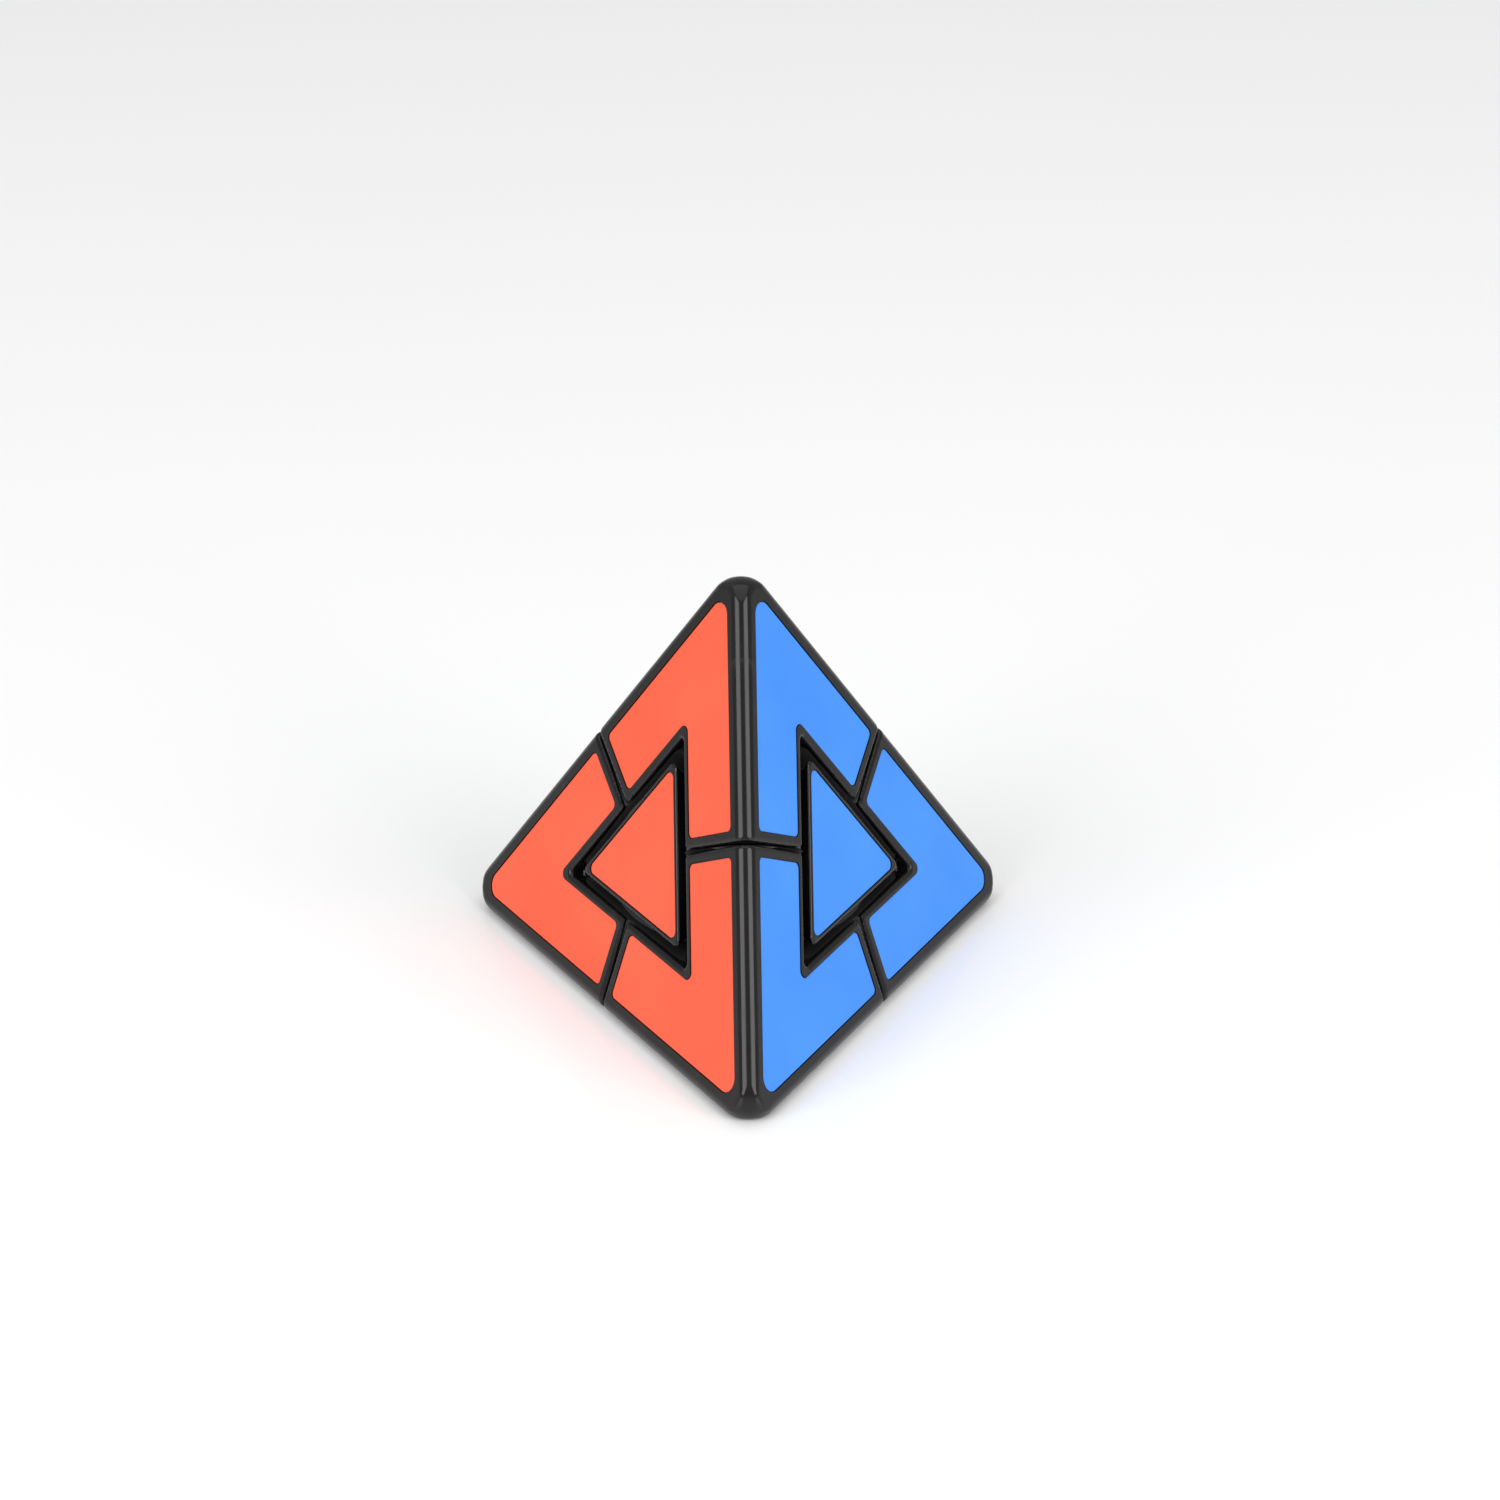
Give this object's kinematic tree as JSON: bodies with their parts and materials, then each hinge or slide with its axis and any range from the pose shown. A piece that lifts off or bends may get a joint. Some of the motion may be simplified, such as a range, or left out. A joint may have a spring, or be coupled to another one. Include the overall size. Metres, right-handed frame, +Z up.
{
  "type": "pyramid twisty puzzle",
  "caption": "Tetrahedral twisty puzzle of corner pieces and triangular face centres that turn on a hidden four-armed core, with coloured stickers.",
  "frame": {"origin": "middle of the triangular face it stands on, on the standing plane", "axes": "+Z up through the top corner, which is also the turning axis of the top layer; +Y away from the front corner; +X to the right seen from the front"},
  "size_m": [0.0958, 0.0839, 0.0789],
  "materials": {
    "black_plastic": "polished black moulded plastic",
    "inner_plastic": "satin black moulded plastic",
    "core_plastic": "white moulded plastic",
    "steel": "zinc-plated steel",
    "sticker_left": "satin vinyl sticker, orange-red",
    "sticker_right": "satin vinyl sticker, blue",
    "sticker_back": "satin vinyl sticker, green",
    "sticker_base": "satin vinyl sticker, yellow"
  },
  "bodies": {
    "base_body": {"centre_cap_base": "black_plastic", "centre_foot_base": "inner_plastic", "core": "core_plastic", "corner_shell_front": "black_plastic", "corner_shell_left": "black_plastic", "corner_shell_right": "black_plastic", "corner_stem_front": "inner_plastic", "corner_stem_left": "inner_plastic", "corner_stem_right": "inner_plastic", "screw_front": "steel", "screw_left": "steel", "screw_right": "steel", "screw_top": "steel", "slider_front_left": "inner_plastic", "slider_front_right": "inner_plastic", "slider_right_left": "inner_plastic", "spring_front": "steel", "spring_left": "steel", "spring_right": "steel", "spring_top": "steel", "sticker_centre_base": "sticker_base", "sticker_front_on_base": "sticker_base", "sticker_front_on_left": "sticker_left", "sticker_front_on_right": "sticker_right", "sticker_left_on_back": "sticker_back", "sticker_left_on_base": "sticker_base", "sticker_left_on_left": "sticker_left", "sticker_right_on_back": "sticker_back", "sticker_right_on_base": "sticker_base", "sticker_right_on_right": "sticker_right", "washer_front": "steel", "washer_left": "steel", "washer_right": "steel", "washer_top": "steel"},
    "top_layer": {"centre_cap_back": "black_plastic", "centre_cap_left": "black_plastic", "centre_cap_right": "black_plastic", "centre_foot_back": "inner_plastic", "centre_foot_left": "inner_plastic", "centre_foot_right": "inner_plastic", "corner_shell_top": "black_plastic", "corner_stem_top": "inner_plastic", "slider_top_front": "inner_plastic", "slider_top_left": "inner_plastic", "slider_top_right": "inner_plastic", "sticker_centre_back": "sticker_back", "sticker_centre_left": "sticker_left", "sticker_centre_right": "sticker_right", "sticker_top_on_back": "sticker_back", "sticker_top_on_left": "sticker_left", "sticker_top_on_right": "sticker_right"}
  },
  "joints": [
    {"name": "top_layer_turn", "type": "hinge", "parent": "base_body", "child": "top_layer", "pos_m": [0, 0, 0.02143], "axis": [0, 0, 1], "continuous": true}
  ]
}
